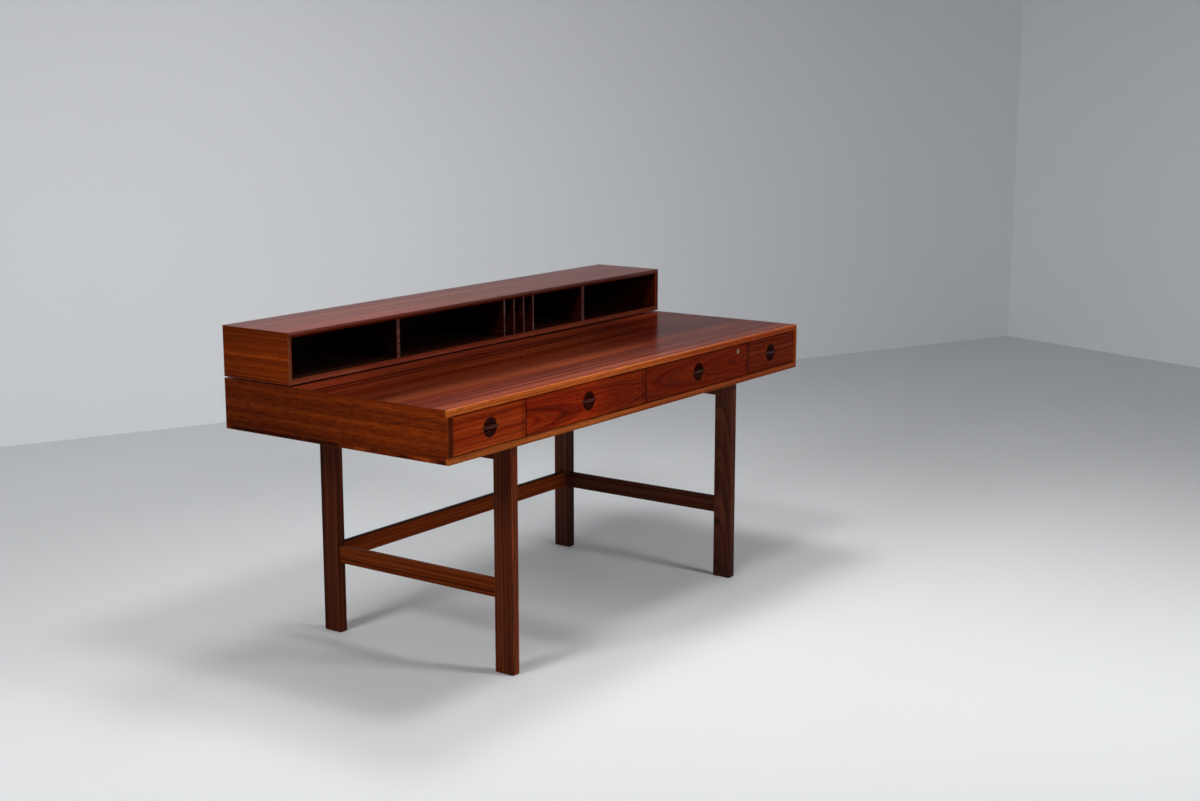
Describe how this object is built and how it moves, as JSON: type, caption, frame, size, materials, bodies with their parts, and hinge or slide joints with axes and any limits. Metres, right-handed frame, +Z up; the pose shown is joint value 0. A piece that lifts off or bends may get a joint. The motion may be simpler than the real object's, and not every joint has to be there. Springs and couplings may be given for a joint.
{
  "type": "partners desk",
  "caption": "Flip-top partners desk in rosewood: a shallow drawer case on slim leg frames, with an open pigeonhole hutch hinged along the rear edge.",
  "frame": {"origin": "on the floor under the middle of the desk", "axes": "+X along the width to the sitter's right, +Y from the drawers to the rear, +Z up"},
  "size_m": [1.63, 0.7371, 0.863],
  "materials": {
    "rosewood_veneer": "satin lacquered veneer",
    "rosewood_solid": "satin lacquered solid wood",
    "rosewood_lipping": "satin lacquered solid edge",
    "drawer_wood": "waxed hardwood",
    "drawer_plywood": "waxed plywood",
    "brass": "aged",
    "steel": "plain",
    "nickel": "satin nickel",
    "felt": "dense felt"
  },
  "bodies": {
    "carcass": {"leg_front_left": "rosewood_solid", "leg_front_right": "rosewood_solid", "leg_rear_left": "rosewood_solid", "leg_rear_right": "rosewood_solid", "top_rail_left": "rosewood_solid", "top_rail_right": "rosewood_solid", "side_stretcher_left": "rosewood_solid", "side_stretcher_right": "rosewood_solid", "rear_stretcher": "rosewood_solid", "case_screws": "steel", "case_top": "rosewood_veneer", "case_bottom": "rosewood_veneer", "case_top_lipping": "rosewood_lipping", "case_bottom_lipping": "rosewood_lipping", "case_left_end": "rosewood_veneer", "case_right_end": "rosewood_veneer", "case_back": "rosewood_veneer", "partition_left": "rosewood_veneer", "partition_centre": "rosewood_veneer", "partition_right": "rosewood_veneer", "drawer_runners": "drawer_wood", "hinge_case_leaves": "brass", "hinge_pins": "steel", "hinge_case_screws": "brass"},
    "drawer_1": {"drawer_1_front": "rosewood_veneer", "drawer_1_sides": "drawer_wood", "drawer_1_back": "drawer_wood", "drawer_1_bottom": "drawer_plywood", "drawer_1_pull": "rosewood_solid"},
    "drawer_2": {"drawer_2_front": "rosewood_veneer", "drawer_2_sides": "drawer_wood", "drawer_2_back": "drawer_wood", "drawer_2_bottom": "drawer_plywood", "drawer_2_pull": "rosewood_solid"},
    "drawer_3": {"drawer_3_front": "rosewood_veneer", "drawer_3_sides": "drawer_wood", "drawer_3_back": "drawer_wood", "drawer_3_bottom": "drawer_plywood", "drawer_3_pull": "rosewood_solid", "lock_body": "nickel"},
    "drawer_4": {"drawer_4_front": "rosewood_veneer", "drawer_4_sides": "drawer_wood", "drawer_4_back": "drawer_wood", "drawer_4_bottom": "drawer_plywood", "drawer_4_pull": "rosewood_solid"},
    "hutch": {"hutch_top": "rosewood_veneer", "hutch_bottom": "rosewood_veneer", "hutch_left_end": "rosewood_veneer", "hutch_right_end": "rosewood_veneer", "hutch_back": "rosewood_veneer", "bay_divider_left": "rosewood_veneer", "bay_divider_right": "rosewood_veneer", "letter_dividers": "rosewood_veneer", "hinge_hutch_leaves": "brass", "hinge_hutch_screws": "brass", "hutch_pads": "felt"},
    "lock_plug": {"lock_plug": "nickel"},
    "lock_bolt": {"lock_bolt": "steel"}
  },
  "joints": [
    {"name": "drawer_1_slide", "type": "slide", "parent": "carcass", "child": "drawer_1", "axis": [0, -1, 0], "range_m": [0, 0.4]},
    {"name": "drawer_2_slide", "type": "slide", "parent": "carcass", "child": "drawer_2", "axis": [0, -1, 0], "range_m": [0, 0.4]},
    {"name": "drawer_3_slide", "type": "slide", "parent": "carcass", "child": "drawer_3", "axis": [0, -1, 0], "range_m": [0, 0.4]},
    {"name": "drawer_4_slide", "type": "slide", "parent": "carcass", "child": "drawer_4", "axis": [0, -1, 0], "range_m": [0, 0.4]},
    {"name": "hutch_flip", "type": "hinge", "parent": "carcass", "child": "hutch", "pos_m": [0, 0.36715, 0.731], "axis": [-1, 0, 0], "range_deg": [0, 180]},
    {"name": "lock_turn", "type": "hinge", "parent": "drawer_3", "child": "lock_plug", "pos_m": [0.47125, -0.3662, 0.693], "axis": [0, -1, 0], "range_deg": [0, 90]},
    {"name": "lock_bolt_lift", "type": "slide", "parent": "drawer_3", "child": "lock_bolt", "axis": [0, 0, 1], "range_m": [0, 0.008]}
  ],
  "couplings": [
    {"joint": "lock_turn", "follows": "lock_bolt_lift", "rad_per_m": 196.35}
  ]
}
